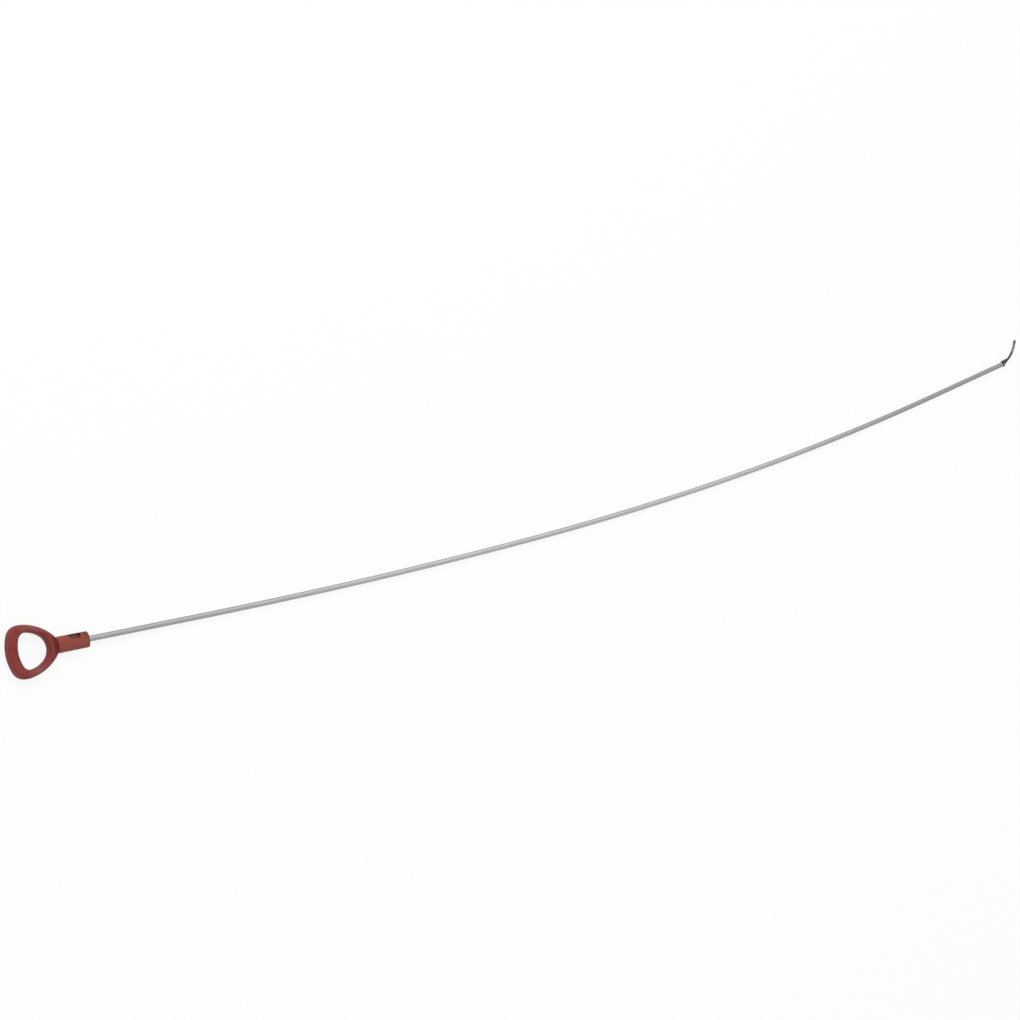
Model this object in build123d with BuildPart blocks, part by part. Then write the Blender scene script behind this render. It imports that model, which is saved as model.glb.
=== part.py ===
from build123d import *
from math import atan, cos, degrees, radians, sin, sqrt
import os

# A transmission dipstick lying on the floor as it comes to rest: a moulded finger loop with a neck, a long
# stick of close-wound wire over a core wire, and a thin measuring tongue on a collar at the far end.
# Millimetres. The origin is on the handle's lower face, in the middle of the loop's rear bar. +X runs
# along the neck towards the tongue, +Y is to the left of it and +Z is up.

# Finger loop: a rounded triangle with its point at the neck
loop_length = 43.5
loop_width = 42.8
loop_thickness = 10.0
loop_corner_radius = 11.0
loop_point_radius = 13.3
loop_side_radius = 41.2
loop_rear_radius = 37.7
loop_edge_radius = 2.5

# Finger hole: the bars that are left around it, and its own roundings
rear_bar = 8.5
side_bar = 6.7
front_bar = 8.0
hole_corner_radius = 6.9
hole_point_radius = 12.3
hole_side_radius = 23.7
hole_rear_radius = 28.3

# Neck: a flattened round bar that narrows by its draft towards the stick
neck_length = 29.6
neck_root = 5.4  # from the finger hole to where the neck's own body begins
neck_width = 13.3
neck_side_flat = 0.8
neck_draft = 0.15
neck_rim_radius = 0.5

# Crease: a round-bottomed groove between the loop and the neck, on both faces
crease_radius = 1.8
crease_depth = 1.6

# Moulding window: a blind slot on the neck's upper left shoulder
window_length = 10.8
window_width = 6.0
window_depth = 2.2
window_tilt = 47.0
window_setback = 12.1  # from the neck's end to the middle of the slot

# Stick: a close-wound sheath of round wire over a core wire, and how far it shows beyond the neck
stick_length = 1116.3
sheath_diameter = 4.8
sheath_wire = 1.1
core_gap = 0.2
socket_depth = 18.0
bond_gap = 0.03

# How the stick lies: level out of the neck, down to the floor, two long bends to the left, a straight end
exit_run = 8.0
descent_run = 90.0
near_bend_length = 359.0
near_bend_radius = 6934.0
far_bend_radius = 4232.0
end_run = 114.7

# Measuring tip: a spigot in the sheath, a collar, and a bent tongue that stands on edge and flares at its root
spigot_length = 8.0
collar_length = 2.4
collar_lip = 0.5
collar_chamfer = 0.4
tongue_length = 33.9
tongue_thickness = 1.0
tongue_height = 3.0
tongue_end_radius = 1.3
root_length = 10.5
root_thickness = 4.6
root_height = 3.2
root_offset = 1.0  # to the left of the collar's axis
root_bend_radius = 24.9
blade_bend_radius = 41.2
mark_width = 0.6
mark_depth = 0.4
mark_spacing = 5.0
mark_count = 4
mark_setback = 6.5  # from the tongue's end to the first level mark

# Places that several pieces share
loop_rear_x = -rear_bar / 2
loop_point_x = loop_rear_x + loop_length
hole_rear_x = loop_rear_x + rear_bar
hole_point_x = loop_point_x - front_bar
neck_start_x = hole_point_x + neck_root
neck_end_x = neck_start_x + neck_length
middle_z = loop_thickness / 2
sheath_radius = sheath_diameter / 2
sheath_bore_radius = sheath_radius - sheath_wire
core_radius = sheath_bore_radius - core_gap
collar_radius = sheath_radius + collar_lip
socket_x = neck_end_x - socket_depth
lying_z = collar_radius
blade_length = tongue_length - root_length


def rounded_triangle(rear_x, point_x, half_width, corner_radius, point_radius, side_radius, rear_radius):
    """Upper half of a bulging triangle: each arc meets the next where the line of their centres cuts them."""
    rear_centre = Vector(rear_x + rear_radius, 0)
    corner_y = half_width - corner_radius
    corner_back = sqrt((rear_radius - corner_radius) ** 2 - corner_y**2)
    corner_centre = Vector(rear_centre.X - corner_back, corner_y)
    point_centre = Vector(point_x - point_radius, 0)

    # The side's centre lies inside, at a known distance from the other two
    to_corner = side_radius - corner_radius
    to_point = side_radius - point_radius
    across = point_centre - corner_centre
    along = (to_corner**2 - to_point**2 + across.length**2) / (2 * across.length)
    inward = across.normalized().rotate(Axis.Z, -90)
    side_centre = corner_centre + across.normalized() * along + inward * sqrt(to_corner**2 - along**2)

    rear_end = rear_centre + (corner_centre - rear_centre).normalized() * rear_radius
    side_start = side_centre + (corner_centre - side_centre).normalized() * side_radius
    side_end = side_centre + (point_centre - side_centre).normalized() * side_radius
    rear = TangentArc((rear_x, 0), rear_end, tangent=(0, 1))
    corner = TangentArc(rear_end, side_start, tangent=rear % 1)
    side = TangentArc(side_start, side_end, tangent=corner % 1)
    TangentArc(side_end, (point_x, 0), tangent=side % 1)


def left_arc(start, tangent, length, radius):
    """A level arc of this length that starts along the tangent and turns left."""
    return JernArc(start, tangent, radius, degrees(length / radius))


def stick_path(short_of_end=0.0):
    """The stick's centre line: level, down to the floor in two equal arcs, two long bends and a straight end."""
    half_slope = atan((middle_z - lying_z) / descent_run)
    descent_radius = descent_run / 2 / sin(2 * half_slope)
    descent_length = 2 * descent_radius * 2 * half_slope
    far_bend_length = stick_length - exit_run - descent_length - near_bend_length - end_run
    with BuildLine() as path:
        level = Line((socket_x, 0, middle_z), (neck_end_x + exit_run, 0, middle_z))
        half_drop = Vector(descent_run / 2, 0, (lying_z - middle_z) / 2)
        leaving = TangentArc(level @ 1, level @ 1 + half_drop, tangent=level % 1)
        landing = TangentArc(leaving @ 1, leaving @ 1 + half_drop, tangent=leaving % 1)
        near_bend = left_arc(landing @ 1, (1, 0, 0), near_bend_length, near_bend_radius)
        far_bend = left_arc(near_bend @ 1, near_bend % 1, far_bend_length, far_bend_radius)
        Line(far_bend @ 1, far_bend @ 1 + (far_bend % 1) * (end_run - short_of_end))
    return path.wire()


# The whole handle is one moulding
with BuildPart() as handle:
    with BuildSketch():
        with BuildLine():
            rounded_triangle(
                loop_rear_x,
                loop_point_x,
                loop_width / 2,
                loop_corner_radius,
                loop_point_radius,
                loop_side_radius,
                loop_rear_radius,
            )
            mirror(about=Plane.XZ)
        make_face()
        with BuildLine():
            rounded_triangle(
                hole_rear_x,
                hole_point_x,
                loop_width / 2 - side_bar,
                hole_corner_radius,
                hole_point_radius,
                hole_side_radius,
                hole_rear_radius,
            )
            mirror(about=Plane.XZ)
        make_face(mode=Mode.SUBTRACT)
    extrude(amount=loop_thickness)
    rims = handle.edges().group_by(Axis.Z)
    fillet(rims[0] + rims[-1], radius=loop_edge_radius)

    # The neck is lofted from its root to its end, and its end rim is rounded
    for x, inset in ((neck_start_x, 0.0), (neck_end_x, neck_draft)):
        height = loop_thickness - 2 * inset
        with BuildSketch(Plane((x, 0, middle_z), x_dir=(0, 1, 0), z_dir=(1, 0, 0))):
            RectangleRounded(neck_width - 2 * inset, height, (height - neck_side_flat) / 2)
    loft()
    fillet(handle.faces().sort_by(Axis.X)[-1].edges(), radius=neck_rim_radius)

    # The crease crosses both faces at the neck's root and has round ends
    crease_lift = crease_radius - crease_depth
    crease_half = neck_width / 2 - crease_radius
    for z in (-crease_lift, loop_thickness + crease_lift):
        with Locations((neck_start_x, 0, z)):
            Cylinder(crease_radius, 2 * crease_half, rotation=(90, 0, 0), mode=Mode.SUBTRACT)
        with Locations((neck_start_x, -crease_half, z), (neck_start_x, crease_half, z)):
            Sphere(crease_radius, mode=Mode.SUBTRACT)

    # The window is sunk square to the shoulder's round
    shoulder_radius = (loop_thickness - neck_side_flat) / 2
    shoulder_y = neck_width / 2 - shoulder_radius
    shoulder_z = middle_z + neck_side_flat / 2
    outward = Vector(0, sin(radians(window_tilt)), cos(radians(window_tilt)))
    shoulder_axis = Vector(neck_end_x - window_setback, shoulder_y, shoulder_z)
    window_floor = shoulder_axis + outward * (shoulder_radius - window_depth)
    with BuildSketch(Plane(window_floor, x_dir=(1, 0, 0), z_dir=outward)):
        SlotOverall(window_length, window_width)
    extrude(amount=shoulder_radius, mode=Mode.SUBTRACT)

    # The stick's socket is a blind bore from the neck's end
    with BuildSketch(Plane((socket_x, 0, middle_z), z_dir=(1, 0, 0))):
        Circle(sheath_radius + bond_gap)
    extrude(amount=socket_depth, mode=Mode.SUBTRACT)

# The sheath is a tube the size of its winding, from the bottom of the socket to the collar
sheath_path = stick_path()
with BuildPart() as sheath:
    with BuildSketch(Plane((socket_x, 0, middle_z), z_dir=(1, 0, 0))):
        Circle(sheath_radius)
        Circle(sheath_bore_radius, mode=Mode.SUBTRACT)
    sweep(path=sheath_path)

# The core wire stops at the tip's spigot
with BuildPart() as core_wire:
    with BuildSketch(Plane((socket_x, 0, middle_z), z_dir=(1, 0, 0))):
        Circle(core_radius)
    sweep(path=stick_path(short_of_end=spigot_length))

# The measuring tip is one moulding: spigot, collar and tongue
sheath_end = sheath_path @ 1
tip_forward = sheath_path % 1
tip_left = tip_forward.rotate(Axis.Z, 90)
root_start = sheath_end + tip_forward * collar_length + tip_left * root_offset
with BuildLine():
    root = left_arc(root_start, tip_forward, root_length, root_bend_radius)
    blade = left_arc(root @ 1, root % 1, blade_length, blade_bend_radius)
with BuildPart() as measuring_tip:
    with BuildSketch(Plane(sheath_end, z_dir=tip_forward)):
        Circle(collar_radius)
    extrude(amount=collar_length)
    chamfer(measuring_tip.edges().filter_by(GeomType.CIRCLE), length=collar_chamfer)

    # The root narrows as it turns, and the blade goes on from its end
    with BuildSketch(Plane(root @ 0, x_dir=(0, 0, 1), z_dir=root % 0)):
        Rectangle(root_height, root_thickness)
    with BuildSketch(Plane(root @ 1, x_dir=(0, 0, 1), z_dir=root % 1)) as blade_section:
        Rectangle(tongue_height, tongue_thickness)
    loft()
    sweep(blade_section.sketch, path=blade)
    end_edges = measuring_tip.faces().sort_by_distance(blade @ 1)[0].edges()
    fillet(end_edges.sort_by(Axis.Z)[:1] + end_edges.sort_by(Axis.Z)[-1:], radius=tongue_end_radius)

    # Level marks: small notches across both edges of the tongue
    for number in range(mark_count):
        share = 1 - (mark_setback + mark_spacing * number) / blade_length
        for rise in (-tongue_height / 2, tongue_height / 2):
            with Locations(Plane((blade @ share) + (0, 0, rise), x_dir=blade % share, z_dir=(0, 0, 1))):
                Box(mark_width, 2 * tongue_thickness, 2 * mark_depth, mode=Mode.SUBTRACT)

    with BuildSketch(Plane(sheath_end, z_dir=tip_forward)):
        Circle(sheath_bore_radius - bond_gap)
    extrude(amount=-spigot_length)

os.makedirs("parts", exist_ok=True)

handle.part.label = "handle"
export_step(handle.part, "parts/handle.step")
sheath.part.label = "sheath"
export_step(sheath.part, "parts/sheath.step")
core_wire.part.label = "core_wire"
export_step(core_wire.part, "parts/core_wire.step")
measuring_tip.part.label = "measuring_tip"
export_step(measuring_tip.part, "parts/measuring_tip.step")

developed_length = neck_end_x - loop_rear_x + stick_length + collar_length + tongue_length
print(f"developed length {developed_length:.1f}, sheath {sheath_path.length:.1f}")
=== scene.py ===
"""A transmission dipstick on a pale studio floor: a red moulded loop, a wound-wire stick and a dark tongue.

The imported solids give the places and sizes. The handle, the core wire and the measuring tip keep their
solids and get finishes. The stick's plain tube is replaced by its winding, one long surface worked out with
numpy. Lengths are in metres. +X runs along the stick, +Y is to its left and +Z is up.
"""

from math import cos, pi, radians, sin

import bpy
import numpy as np
from mathutils import Matrix, Vector


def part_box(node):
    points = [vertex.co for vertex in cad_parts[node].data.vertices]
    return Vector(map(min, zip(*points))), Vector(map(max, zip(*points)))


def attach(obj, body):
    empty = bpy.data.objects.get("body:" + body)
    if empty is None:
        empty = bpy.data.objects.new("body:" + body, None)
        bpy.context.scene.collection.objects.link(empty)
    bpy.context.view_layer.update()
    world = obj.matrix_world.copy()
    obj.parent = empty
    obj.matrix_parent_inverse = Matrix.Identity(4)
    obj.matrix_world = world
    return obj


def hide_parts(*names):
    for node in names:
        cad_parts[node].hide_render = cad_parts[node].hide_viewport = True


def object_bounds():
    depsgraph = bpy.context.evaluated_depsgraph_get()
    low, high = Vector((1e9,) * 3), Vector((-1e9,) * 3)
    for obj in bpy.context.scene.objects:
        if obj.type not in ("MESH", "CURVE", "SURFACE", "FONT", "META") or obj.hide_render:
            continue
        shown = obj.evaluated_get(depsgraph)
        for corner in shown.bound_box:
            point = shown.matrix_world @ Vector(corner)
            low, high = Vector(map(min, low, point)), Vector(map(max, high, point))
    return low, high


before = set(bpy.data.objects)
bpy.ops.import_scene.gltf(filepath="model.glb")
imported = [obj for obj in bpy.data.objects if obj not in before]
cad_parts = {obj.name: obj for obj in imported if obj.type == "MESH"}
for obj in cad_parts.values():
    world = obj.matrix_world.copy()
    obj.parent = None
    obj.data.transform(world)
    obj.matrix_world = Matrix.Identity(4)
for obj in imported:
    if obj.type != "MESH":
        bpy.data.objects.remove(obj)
cad_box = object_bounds()

# How the stick lies, as in the solids: level, down to the floor in two equal arcs, two long bends to the
# left and a straight end
STICK_LENGTH = 1.1163
EXIT_RUN = 0.008
DESCENT_RUN = 0.090
NEAR_BEND_LENGTH = 0.359
NEAR_BEND_RADIUS = 6.934
FAR_BEND_RADIUS = 4.232
END_RUN = 0.1147

# The winding: one round wire, drawn a little flat on the outside
WIRE_PITCH = 0.0011
WIRE_RISE = 0.00016
STEPS_AROUND = 16
STEPS_ACROSS = 5
GROOVE_ANGLE = radians(35.0)
LINE_POINTS = 6000
GROOVE = "groove"

# The stick's finish: where it is darker near the handle and where it darkens with oil, which faces count as
# its lit top, and how much the painted shade in the grooves, the streaks and the darkening near the handle
# cover
NEAR_HANDLE_FADE = (0.10, 0.40)
OIL_FADE = (0.75, 1.08)
LIT_TOP_FACING = (0.2, 0.9)
GROOVE_SHADE_START = 0.35
GROOVE_SHADE = 0.85
STREAK_SHARE = 0.35
NEAR_HANDLE_SHARE = 0.8
WIRE_GRAIN = 0.00001

# Where the tip is worn pale: a stretch of the tongue and its end, both measured back from the end; and the
# right side of the collar, paled by painted light, measured from the stick's end to the left
LEVEL_ZONE_START = (0.003, 0.004)
LEVEL_ZONE_END = (0.0115, 0.0135)
TONGUE_WEAR = (0.0013, 0.0026)
COLLAR_LIGHT = (-0.0005, 0.0008)
TIP_GRAIN = 0.00001

# Places on the handle, as in the solids
CREASE_X = 0.03665
CREASE_RADIUS = 0.0018
CREASE_DEPTH = 0.0016
WINDOW_ENDS = (0.04875, 0.05955)
SHOULDER_Y = 0.00205
SHOULDER_Z = 0.0054
SHOULDER_RADIUS = 0.0046

# Where the handle's colour changes: each pair is where a change begins and where it is complete
CREASE_FADE = (1.04, 1.404)  # in crease radii
WINDOW_FLOOR = 0.0038  # from the axis of the shoulder's round
WINDOW_SKIN = 0.0001  # how far under the shoulder's round the dark begins
WINDOW_FADE = 0.0006
WINDOW_LEFT = (0.0, 0.001)
CORNER_SHADE_X = (0.0590, 0.0630)
CORNER_SHADE_Y = (0.0020, 0.0052)
CORNER_SHADE_Z = (0.0050, 0.0078)
SIDE_BARS_Y = (0.010, 0.018)
LOOP_START_X = (0.004, 0.016)
LOOP_END_X = (0.030, 0.037)
NECK_START_X = (0.034, 0.040)
RIM_SETBACK = (0.0020, 0.0006)
WALL_HEIGHT = (0.0050, 0.0085)
PARTING_HALF = (0.00008, 0.00022)

# How dark the painted shade and the dirt specks are on the handle, and how deep its fine relief
RIM_SHADE = 0.75
CORNER_SHADE_STRENGTH = 0.8
WALL_SHADE = 0.35
SPECK_GRIME = 0.18
GRAIN_DEPTH = 0.00010
PARTING_DEPTH = 0.00012

# The camera stands behind the handle, looks down along the stick and is turned on its side
IMAGE_SIDE = 1020
FOCAL_PIXELS = 2600
SENSOR_WIDTH = 36.0
CAMERA_PLACE = Vector((-0.8964, 0.0285, 1.862))
CAMERA_HEADING = radians(0.408)
CAMERA_PITCH = radians(53.0)
CAMERA_ROLL = radians(78.8)

# A pale floor under a soft white room, with one large lamp on the stick's left
FLOOR_SIDE = 12.0
FLOOR_GAP = 0.0002
FLOOR_COLOUR = (0.97, 0.97, 0.97, 1.0)
FLOOR_ROUGHNESS = 0.9
FLOOR_GLOW = 0.86
ROOM_LIGHT = 0.66
LAMP_PLACE = Vector((0.20, 1.7, 2.1))
LAMP_AIM = Vector((0.45, 0.05, 0.0))
LAMP_SIZE = (3.0, 2.0)
LAMP_POWER = 36.0
WHITE = (1.0, 1.0, 1.0, 1.0)
FLOOR_CORNERS = ((-1, -1), (1, -1), (1, 1), (-1, 1))
DIRECT_RAYS = ("Is Camera Ray", "Is Glossy Ray", "Is Transmission Ray")


class Value:
    """A number that changes over a surface: plain maths on it adds Math nodes to its material."""

    def __init__(self, finish, socket):
        self.finish = finish
        self.socket = socket

    def _join(self, operation, first, second):
        return self.finish.node("ShaderNodeMath", {"operation": operation}, {0: first, 1: second})

    def __add__(self, other):
        return self._join("ADD", self, other)

    def __radd__(self, other):
        return self._join("ADD", other, self)

    def __sub__(self, other):
        return self._join("SUBTRACT", self, other)

    def __rsub__(self, other):
        return self._join("SUBTRACT", other, self)

    def __mul__(self, other):
        return self._join("MULTIPLY", self, other)

    def __rmul__(self, other):
        return self._join("MULTIPLY", other, self)

    def __abs__(self):
        return self._join("ABSOLUTE", self, 0.0)


class Nodes:
    """A node tree: one method makes any node of it."""

    def __init__(self, tree):
        self.tree = tree

    def node(self, kind, settings, sockets, output=0):
        """A node of this type with its settings made first, then its sockets set or linked."""
        made = self.tree.nodes.new(kind)
        for name, value in settings.items():
            setattr(made, name, value)
        for name, value in sockets.items():
            self.feed(made.inputs[name], value)
        return Value(self, made.outputs[output])

    def feed(self, socket, value):
        """Links a Value to a socket, or sets a plain number or colour on it."""
        if isinstance(value, Value):
            self.tree.links.new(value.socket, socket)
        else:
            socket.default_value = value

    def seen_directly(self):
        """1 where the camera, a mirror or a clear body looks at it, 0 where it only gives light."""
        rays = [self.node("ShaderNodeLightPath", {}, {}, name) for name in DIRECT_RAYS]
        return rays[0] + rays[1] + rays[2]


class Finish(Nodes):
    """A piece's material, with short names for the nodes that its finishes share."""

    def __init__(self, name):
        self.material = bpy.data.materials.new(name)
        self.material.use_nodes = True
        super().__init__(self.material.node_tree)
        self.shader = self.tree.nodes["Principled BSDF"]

    def set(self, **sockets):
        """Sets or links the surface shader's sockets, named with underscores for spaces."""
        for name, value in sockets.items():
            self.feed(self.shader.inputs[name.replace("_", " ")], value)

    def places(self):
        """Object coordinates, in metres."""
        return self.node("ShaderNodeTexCoord", {}, {}, "Object")

    def axis(self, name):
        """One of the object coordinates, X, Y or Z."""
        return self.node("ShaderNodeSeparateXYZ", {}, {"Vector": self.places()}, name)

    def facing(self):
        """The direction that the surface faces, in the object's own axes."""
        return self.node("ShaderNodeTexCoord", {}, {}, "Normal")

    def most(self, first, *others):
        """The largest of several values."""
        for other in others:
            first = self.node("ShaderNodeMath", {"operation": "MAXIMUM"}, {0: first, 1: other})
        return first

    def noise(self, per_metre, detail=2.0):
        """Smooth noise from 0 to 1 with about this many lumps to the metre."""
        sockets = {"Vector": self.places(), "Scale": per_metre, "Detail": detail}
        return self.node("ShaderNodeTexNoise", {}, sockets, "Fac")

    def spread(self, value, low, high, new_low=0.0, new_high=1.0):
        """Carries a value from one range to another with a smooth step, and holds it at the ends."""
        settings = {"interpolation_type": "SMOOTHSTEP"}
        sockets = {"Value": value, 1: low, 2: high, 3: new_low, 4: new_high}
        return self.node("ShaderNodeMapRange", settings, sockets)

    def fade(self, value, low, high, most=1.0):
        """The other way round: full below a range and 0 above it."""
        return self.spread(value, low, high, most, 0.0)

    def mix(self, factor, first, second):
        """A colour between two colours."""
        settings = {"data_type": "RGBA"}
        return self.node("ShaderNodeMix", settings, {0: factor, 6: first, 7: second}, 2)

    def bump(self, height, depth, normal=None):
        """Small relief of this depth in metres, on top of another one if given."""
        sockets = {"Height": height, "Distance": depth}
        if normal is not None:
            sockets["Normal"] = normal
        return self.node("ShaderNodeBump", {}, sockets)


def crease_share(finish):
    """1 in the crease's two grooves and 0 a little beyond their edges."""
    low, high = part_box("handle")
    middle = float(low[2] + high[2]) / 2
    axis_height = float(high[2]) - middle + CREASE_RADIUS - CREASE_DEPTH
    along = finish.axis("X") - CREASE_X
    up = abs(finish.axis("Z") - middle) - axis_height
    inner, outer = (share * CREASE_RADIUS for share in CREASE_FADE)
    return finish.fade(along * along + up * up, inner**2, outer**2)


def window_share(finish):
    """1 inside the window's recess, where a point lies deeper than the shoulder's round."""
    across = finish.axis("Y") - SHOULDER_Y
    up = finish.axis("Z") - SHOULDER_Z
    skin = SHOULDER_RADIUS - WINDOW_SKIN
    deep = finish.fade(across * across + up * up, WINDOW_FLOOR**2, skin**2)
    along = finish.axis("X")
    start = finish.spread(along, WINDOW_ENDS[0] - WINDOW_FADE, WINDOW_ENDS[0])
    end = finish.fade(along, WINDOW_ENDS[1], WINDOW_ENDS[1] + WINDOW_FADE)
    left = finish.spread(across + up, *WINDOW_LEFT)
    return deep * start * end * left


def end_corner_shade(finish):
    """1 on the upper left corner of the neck's end, where shade is painted, and 0 around it."""
    along = finish.spread(finish.axis("X"), *CORNER_SHADE_X)
    across = finish.spread(finish.axis("Y"), *CORNER_SHADE_Y)
    up = finish.spread(finish.axis("Z"), *CORNER_SHADE_Z)
    uneven = finish.spread(finish.noise(420.0, 3.0), 0.30, 0.62, 0.35, 1.0)
    return along * across * up * uneven


def red_moulding():
    """Dull red plastic: deeper and paler patches, painted sheen on the side bars, a browner neck, painted
    shade in the hollows and the crease, dirt specks, a parting line.
    """
    finish = Finish("red_moulding")
    low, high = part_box("handle")
    along = finish.axis("X")
    height = finish.axis("Z")
    patches = finish.spread(finish.noise(170.0, 3.0), 0.35, 0.65)
    grain = finish.noise(1500.0, 3.0)
    specks = finish.spread(finish.noise(900.0, 4.0), 0.52, 0.72)

    deep_red = (0.212, 0.018, 0.016, 1.0)
    dull_red = (0.240, 0.036, 0.031, 1.0)
    sheen_red = (0.245, 0.076, 0.070, 1.0)
    brown_red = (0.270, 0.056, 0.036, 1.0)
    dark_brown = (0.085, 0.020, 0.014, 1.0)
    crease_shade_red = (0.135, 0.014, 0.009, 1.0)
    colour = finish.mix(patches, deep_red, dull_red)

    # Painted sheen: the loop's two side bars are paler
    sides = finish.spread(abs(finish.axis("Y")), *SIDE_BARS_Y)
    loop_only = finish.spread(along, *LOOP_START_X) * finish.fade(along, *LOOP_END_X)
    colour = finish.mix(sides * loop_only * (0.55 + 0.45 * patches), colour, sheen_red)
    neck_share = finish.spread(along, *NECK_START_X)
    colour = finish.mix(neck_share * (0.75 + 0.25 * patches), colour, brown_red)

    # Painted shade darkens the window, the neck's end and its upper left corner, and the walls low down
    bottom = float(low[2])
    neck_end = float(high[0])
    rim = finish.spread(along, neck_end - RIM_SETBACK[0], neck_end - RIM_SETBACK[1])
    walls = finish.fade(height, bottom + WALL_HEIGHT[0], bottom + WALL_HEIGHT[1], WALL_SHADE)
    painted_shade = finish.most(window_share(finish), RIM_SHADE * rim, CORNER_SHADE_STRENGTH * end_corner_shade(finish), walls)
    colour = finish.mix(painted_shade * (0.80 + 0.20 * patches), colour, dark_brown)
    # Painted shade in the crease's grooves
    colour = finish.mix(crease_share(finish), colour, crease_shade_red)
    colour = finish.mix(SPECK_GRIME * specks, colour, dark_brown)

    middle = float(low[2] + high[2]) / 2
    parting = finish.fade(abs(height - middle), *PARTING_HALF)
    relief = finish.bump(grain, GRAIN_DEPTH)
    finish.set(
        Base_Color=colour,
        Roughness=0.46 + 0.14 * patches + 0.08 * grain,
        Normal=finish.bump(parting, PARTING_DEPTH, relief),
        IOR=1.36,
    )
    return finish.material


def wound_steel():
    """Satin drawn grey steel wire: painted shade in the grooves and on its sides, painted light on top,
    darker by the handle, oily at the tip.
    """
    finish = Finish("wound_steel")
    along = finish.axis("X")
    streaks = finish.spread(finish.noise(45.0, 3.0), 0.3, 0.7)
    fine = finish.noise(1800.0, 2.0)
    groove = finish.node("ShaderNodeAttribute", {"attribute_name": GROOVE}, {}, "Fac")
    top = finish.node("ShaderNodeSeparateXYZ", {}, {"Vector": finish.facing()}, "Z")

    bright = (0.505, 0.505, 0.500, 1.0)
    dull = (0.455, 0.455, 0.450, 1.0)
    near_handle_grey = (0.380, 0.380, 0.378, 1.0)
    oily = (0.350, 0.348, 0.342, 1.0)
    groove_shade_grey = (0.060, 0.058, 0.055, 1.0)
    # Painted light: faces turned up are lighter, the sides darker
    colour = finish.mix(finish.spread(top, *LIT_TOP_FACING), dull, bright)
    colour = finish.mix(STREAK_SHARE * streaks, colour, dull)
    # Darker near the handle
    colour = finish.mix(finish.fade(along, *NEAR_HANDLE_FADE, NEAR_HANDLE_SHARE), colour, near_handle_grey)
    colour = finish.mix(finish.spread(along, *OIL_FADE), colour, oily)
    # Painted shade in the grooves between the turns
    colour = finish.mix(finish.spread(groove, GROOVE_SHADE_START, 1.0, 0.0, GROOVE_SHADE), colour, groove_shade_grey)
    finish.set(
        Base_Color=colour,
        Metallic=1.0,
        Roughness=0.40 + 0.12 * fine,
        Normal=finish.bump(fine, WIRE_GRAIN),
    )
    return finish.material


def plain_steel():
    """Drawn core wire."""
    finish = Finish("plain_steel")
    fine = finish.noise(1500.0, 2.0)
    dull = (0.45, 0.45, 0.46, 1.0)
    bright = (0.55, 0.55, 0.55, 1.0)
    finish.set(
        Base_Color=finish.mix(fine, dull, bright),
        Metallic=1.0,
        Roughness=0.3 + 0.1 * fine,
    )
    return finish.material


def dark_moulding():
    """Charcoal plastic with a fine satin grain, worn pale on the tongue, and paled by painted light on one
    side of the collar.
    """
    finish = Finish("dark_moulding")
    tip_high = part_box("measuring_tip")[1]
    stick_end = stick_line()[1][-1]
    patches = finish.noise(400.0, 3.0)
    grain = finish.noise(4000.0, 2.0)
    across = finish.axis("Y")

    black = (0.026, 0.026, 0.027, 1.0)
    charcoal = (0.050, 0.050, 0.050, 1.0)
    pale_grey = (0.230, 0.230, 0.226, 1.0)
    from_end = float(tip_high[1]) - across
    from_collar = across - float(stick_end[1])
    level_zone = finish.spread(from_end, *LEVEL_ZONE_START) * finish.fade(from_end, *LEVEL_ZONE_END)
    worn_end = finish.fade(from_end, *TONGUE_WEAR)
    # Painted light pales the collar's right side
    lit_right_side = finish.fade(from_collar, *COLLAR_LIGHT)
    rubbed_and_lit = finish.most(level_zone * (0.6 + 0.4 * patches), worn_end, lit_right_side)
    finish.set(
        Base_Color=finish.mix(rubbed_and_lit, finish.mix(patches, black, charcoal), pale_grey),
        Roughness=0.42 + 0.12 * grain,
        Normal=finish.bump(grain, TIP_GRAIN),
        IOR=1.45,
    )
    return finish.material


def stick_line():
    """The stick's centre line: length, points, left and upward directions at each point, and its radius.

    Each run's slope or heading grows evenly with the length, so both are straight-line functions of the
    length, and the points are the running sum of the forward direction.
    """
    low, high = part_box("sheath")
    handle_low, handle_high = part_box("handle")
    tip_low, tip_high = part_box("measuring_tip")
    start_z = (handle_low[2] + handle_high[2]) / 2
    landing_z = (tip_low[2] + tip_high[2]) / 2
    level_run = handle_high[0] - low[0] + EXIT_RUN
    steepest = 2 * np.arctan2(start_z - landing_z, DESCENT_RUN)
    half_arc = DESCENT_RUN / 2 / np.sin(steepest) * steepest

    far_bend_length = STICK_LENGTH - EXIT_RUN - 2 * half_arc - NEAR_BEND_LENGTH - END_RUN
    near_turn = NEAR_BEND_LENGTH / NEAR_BEND_RADIUS
    whole_turn = near_turn + far_bend_length / FAR_BEND_RADIUS
    knots = np.cumsum([0.0, level_run, half_arc, half_arc, NEAR_BEND_LENGTH, far_bend_length, END_RUN])
    slopes = [0.0, 0.0, steepest, 0.0, 0.0, 0.0, 0.0]
    headings = [0.0, 0.0, 0.0, 0.0, near_turn, whole_turn, whole_turn]
    length = np.linspace(0.0, knots[-1], LINE_POINTS)
    slope = np.interp(length, knots, slopes)[:, None]
    heading = np.interp(length, knots, headings)
    level = np.stack([np.cos(heading), np.sin(heading), 0 * heading], axis=1)
    left = np.stack([-np.sin(heading), np.cos(heading), 0 * heading], axis=1)
    upright = np.array([0.0, 0.0, 1.0])
    forward = level * np.cos(slope) - upright * np.sin(slope)
    above = level * np.sin(slope) + upright * np.cos(slope)

    steps = (forward[1:] + forward[:-1]) / 2 * np.diff(length)[:, None]
    points = np.vstack([np.zeros(3), np.cumsum(steps, axis=0)]) + [low[0], 0.0, start_z]
    return length, points, left, above, high[2] - start_z


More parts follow.
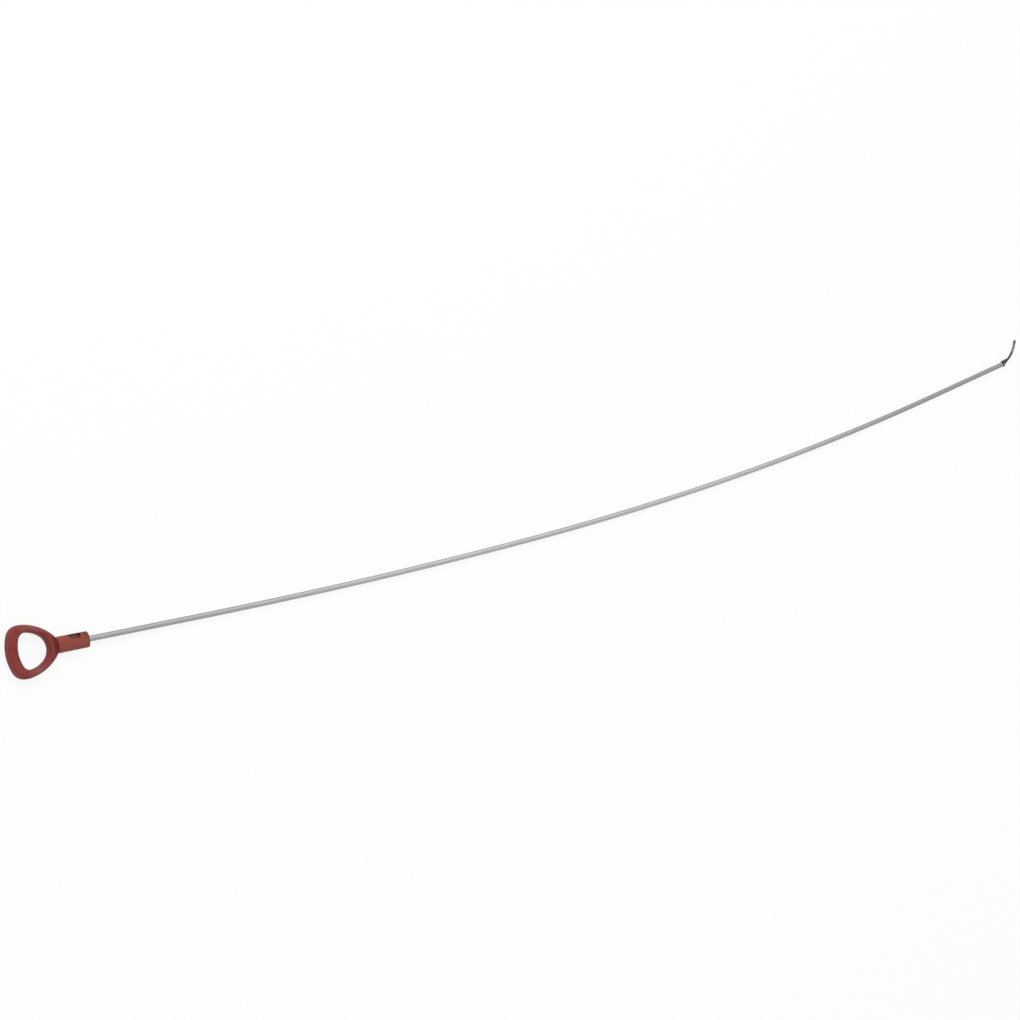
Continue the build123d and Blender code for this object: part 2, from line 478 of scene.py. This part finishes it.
def winding_points():
    """The wire's outer face as rows of points, one row for each step across the wire.

    A point lies at an angle about the stick and at a share of the wire's width from its near groove. Its
    place along the stick is that many turns and shares of the pitch, and its radius falls from the crest by
    the rise times the square of the distance from the crest.
    """
    length, points, left, above, radius = stick_line()
    turns = round(length[-1] / WIRE_PITCH)
    pitch = length[-1] / turns
    columns = (turns - 1) * STEPS_AROUND + 1
    rows = []
    depths = []
    for step in range(STEPS_ACROSS):
        # The near groove also closes the last turn, so its row is one turn longer
        count = columns + (STEPS_AROUND if step == 0 else 0)
        angle = np.arange(count) * 2 * pi / STEPS_AROUND
        share = step / STEPS_ACROSS
        place = (angle / (2 * pi) + share) * pitch
        middle, sideways, up = (
            np.stack([np.interp(place, length, line[:, k]) for k in range(3)], axis=1)
            for line in (points, left, above)
        )
        spoke = sideways * np.cos(angle)[:, None] + up * np.sin(angle)[:, None]
        depth = (2 * share - 1) ** 2
        rows.append(middle + spoke * (radius - WIRE_RISE * depth))
        depths.append(np.full(count, depth))
    return rows, depths, columns, points[0], points[-1]


def fan(loop, centre):
    """Triangles from a closed loop of points to a centre point."""
    following = np.roll(loop, -1)
    return np.stack([np.full(len(loop), centre), loop, following], axis=1).tolist()


def winding(material):
    """The stick's wire as one helical strip, closed at both ends.

    The far groove of each turn is the near groove of the next, so a strip's last step across goes to the
    first row, one turn on.
    """
    rows, depths, columns, near_middle, far_middle = winding_points()
    starts = np.cumsum([0] + [len(row) for row in rows])
    column = np.arange(columns)
    index = [starts[step] + column for step in range(STEPS_ACROSS)]
    index.append(column + STEPS_AROUND)
    faces = []
    for near, far in zip(index, index[1:]):
        faces += np.stack([near[:-1], near[1:], far[1:], far[:-1]], axis=1).tolist()

    near_centre = starts[-1]
    far_centre = near_centre + 1
    near_edge = [row[0] for row in index[1:-1]]
    far_edge = [row[-1] for row in index[1:-1]]
    first_turn = np.arange(STEPS_AROUND + 1)
    last_turn = columns - 1 + first_turn
    near_loop = np.concatenate([first_turn, near_edge[::-1]])
    far_loop = np.concatenate([last_turn, far_edge[::-1]])
    faces += fan(near_loop[::-1], near_centre)
    faces += fan(far_loop, far_centre)
    points = np.vstack(rows + [near_middle, far_middle])
    piece = mesh_piece("winding", points, faces, material)
    groove = piece.data.attributes.new(GROOVE, "FLOAT", "POINT")
    groove.data.foreach_set("value", np.concatenate(depths + [np.ones(2)]))
    return piece


def mesh_piece(name, points, faces, material):
    """A mesh object at the origin, smooth but for its grooves."""
    mesh = bpy.data.meshes.new(name)
    mesh.from_pydata(points.tolist(), [], faces)
    mesh.polygons.foreach_set("use_smooth", np.ones(len(mesh.polygons), dtype=bool))
    mesh.set_sharp_from_angle(angle=GROOVE_ANGLE)
    mesh.materials.append(material)
    piece = bpy.data.objects.new(name, mesh)
    bpy.context.scene.collection.objects.link(piece)
    return piece


def dress(node, material):
    """Gives a solid its finish."""
    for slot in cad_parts[node].material_slots:
        slot.material = material


def floor_finish():
    """Matt white that keeps the shadow, with part of its light its own where it is looked at."""
    finish = Finish("studio_floor")
    finish.set(Base_Color=FLOOR_COLOUR, Roughness=FLOOR_ROUGHNESS)
    glow = finish.node("ShaderNodeEmission", {}, {"Color": WHITE, "Strength": 1.0})
    share = FLOOR_GLOW * finish.seen_directly()
    lit = Value(finish, finish.shader.outputs[0])
    surface = finish.node("ShaderNodeMixShader", {}, {0: share, 1: lit, 2: glow})
    finish.feed(finish.tree.nodes["Material Output"].inputs["Surface"], surface)
    return finish.material


def studio_floor():
    """A flat square under the dipstick."""
    half = FLOOR_SIDE / 2
    middle = (cad_box[0] + cad_box[1]) / 2
    corners = [(middle[0] + x * half, middle[1] + y * half, -FLOOR_GAP) for x, y in FLOOR_CORNERS]
    mesh = bpy.data.meshes.new("studio_floor")
    mesh.from_pydata(corners, [], [(0, 1, 2, 3)])
    mesh.materials.append(floor_finish())
    floor = bpy.data.objects.new("studio_floor", mesh)
    bpy.context.scene.collection.objects.link(floor)


def studio_room():
    """A white room: full white where it is looked at, a soft even light elsewhere."""
    world = bpy.data.worlds.new("studio_room")
    world.use_nodes = True
    bpy.context.scene.world = world
    room = Nodes(world.node_tree)
    strength = ROOM_LIGHT + (1.0 - ROOM_LIGHT) * room.seen_directly()
    background = world.node_tree.nodes["Background"]
    room.feed(background.inputs["Color"], WHITE)
    room.feed(background.inputs["Strength"], strength)


def studio_lamp():
    """One large soft lamp above the stick's left side."""
    light = bpy.data.lights.new("studio_lamp", "AREA")
    light.shape = "RECTANGLE"
    light.size, light.size_y = LAMP_SIZE
    light.energy = LAMP_POWER
    lamp = bpy.data.objects.new("studio_lamp", light)
    lamp.location = LAMP_PLACE
    lamp.rotation_euler = (LAMP_PLACE - LAMP_AIM).to_track_quat("Z", "Y").to_euler()
    bpy.context.scene.collection.objects.link(lamp)


def photo_camera():
    """The photograph's camera: behind the handle, looking down along the stick, turned on its side."""
    heading = Vector((cos(CAMERA_HEADING), sin(CAMERA_HEADING), 0.0))
    upright = Vector((0.0, 0.0, 1.0))
    back = upright * sin(CAMERA_PITCH) - heading * cos(CAMERA_PITCH)
    over = heading * sin(CAMERA_PITCH) + upright * cos(CAMERA_PITCH)
    right = heading.cross(upright)
    picture_right = right * cos(CAMERA_ROLL) + over * sin(CAMERA_ROLL)
    picture_up = over * cos(CAMERA_ROLL) - right * sin(CAMERA_ROLL)
    data = bpy.data.cameras.new("photo_camera")
    data.sensor_width = SENSOR_WIDTH
    data.lens = SENSOR_WIDTH * FOCAL_PIXELS / IMAGE_SIDE
    data.clip_end = 4 * FLOOR_SIDE
    camera = bpy.data.objects.new("photo_camera", data)
    turn = Matrix((picture_right, picture_up, back)).transposed()
    camera.matrix_world = Matrix.Translation(CAMERA_PLACE) @ turn.to_4x4()
    bpy.context.scene.collection.objects.link(camera)
    bpy.context.scene.camera = camera


steel = wound_steel()
stick = winding(steel)
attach(stick, "root")
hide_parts("sheath")

dress("handle", red_moulding())
dress("core_wire", plain_steel())
dress("measuring_tip", dark_moulding())

studio_floor()
studio_room()
studio_lamp()
photo_camera()
bpy.context.scene.view_settings.view_transform = "Standard"
